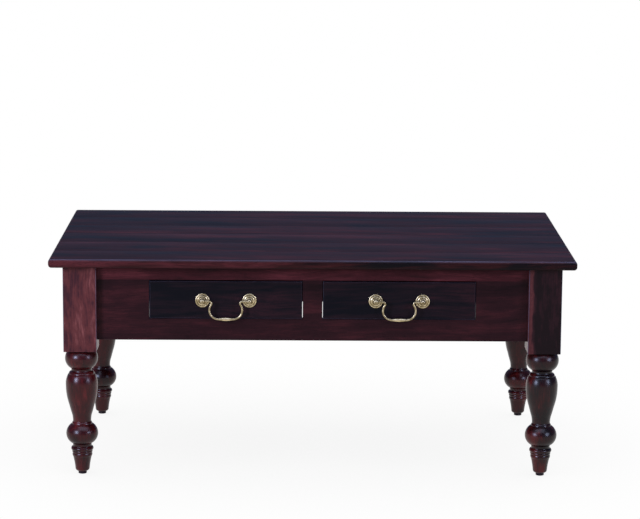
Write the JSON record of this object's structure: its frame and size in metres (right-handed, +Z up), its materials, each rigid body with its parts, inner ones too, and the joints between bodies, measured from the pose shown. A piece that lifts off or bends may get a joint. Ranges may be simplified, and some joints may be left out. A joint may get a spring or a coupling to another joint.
{
  "type": "coffee table",
  "caption": "Low rectangular table of dark stained wood with turned legs, a plank top, inset drawers that slide on side runners and swinging brass bail pulls.",
  "frame": {"origin": "on the floor under the middle of the top", "axes": "+X along the table's length, -Y out of the drawers' side, +Z up"},
  "size_m": [1.07, 0.64, 0.46],
  "materials": {
    "top_wood": "dark mahogany stain on open-grained hardwood, satin lacquer",
    "leg_wood": "dark mahogany stain, satin lacquer",
    "frame_wood": "dark mahogany stain, satin lacquer",
    "drawer_front_wood": "nearly black mahogany stain, satin lacquer",
    "inner_wood": "bare sanded hardwood and plywood",
    "brass": "cast brass, satin, slightly aged in the hollows",
    "steel": "zinc-plated",
    "glide_plastic": "moulded, matte"
  },
  "bodies": {
    "table": {"back_apron": "frame_wood", "back_left_brace": "inner_wood", "back_left_glide": "glide_plastic", "back_left_leg": "leg_wood", "back_right_brace": "inner_wood", "back_right_glide": "glide_plastic", "back_right_leg": "leg_wood", "front_bottom_rail": "frame_wood", "front_left_brace": "inner_wood", "front_left_glide": "glide_plastic", "front_left_leg": "leg_wood", "front_left_stile": "frame_wood", "front_mid_stile": "frame_wood", "front_right_brace": "inner_wood", "front_right_glide": "glide_plastic", "front_right_leg": "leg_wood", "front_right_stile": "frame_wood", "front_top_rail": "frame_wood", "left_apron": "frame_wood", "left_bearer": "inner_wood", "left_drawer_left_runner": "inner_wood", "left_drawer_right_runner": "inner_wood", "mid_bearer": "inner_wood", "right_apron": "frame_wood", "right_bearer": "inner_wood", "right_drawer_left_runner": "inner_wood", "right_drawer_right_runner": "inner_wood", "runner_screws": "steel", "top_plank_1": "top_wood", "top_plank_2": "top_wood", "top_plank_3": "top_wood", "top_plank_4": "top_wood", "top_plank_5": "top_wood", "top_plank_6": "top_wood", "top_screws": "steel"},
    "left_drawer": {"left_drawer_back": "inner_wood", "left_drawer_bottom": "inner_wood", "left_drawer_front": "drawer_front_wood", "left_drawer_left_side": "inner_wood", "left_drawer_right_side": "inner_wood", "left_handle_nuts": "steel", "left_left_post": "brass", "left_left_rosette": "brass", "left_right_post": "brass", "left_right_rosette": "brass"},
    "right_drawer": {"right_drawer_back": "inner_wood", "right_drawer_bottom": "inner_wood", "right_drawer_front": "drawer_front_wood", "right_drawer_left_side": "inner_wood", "right_drawer_right_side": "inner_wood", "right_handle_nuts": "steel", "right_left_post": "brass", "right_left_rosette": "brass", "right_right_post": "brass", "right_right_rosette": "brass"},
    "left_pull": {"left_bail": "brass"},
    "right_pull": {"right_bail": "brass"}
  },
  "joints": [
    {"name": "left_drawer_slide", "type": "slide", "parent": "table", "child": "left_drawer", "axis": [0, -1, 0], "range_m": [0, 0.3]},
    {"name": "left_pull_swing", "type": "hinge", "parent": "left_drawer", "child": "left_pull", "pos_m": [-0.177, -0.29, 0.3698], "axis": [-1, 0, 0], "range_deg": [-12, 192]},
    {"name": "right_drawer_slide", "type": "slide", "parent": "table", "child": "right_drawer", "axis": [0, -1, 0], "range_m": [0, 0.3]},
    {"name": "right_pull_swing", "type": "hinge", "parent": "right_drawer", "child": "right_pull", "pos_m": [0.177, -0.29, 0.3698], "axis": [-1, 0, 0], "range_deg": [-12, 192]}
  ]
}
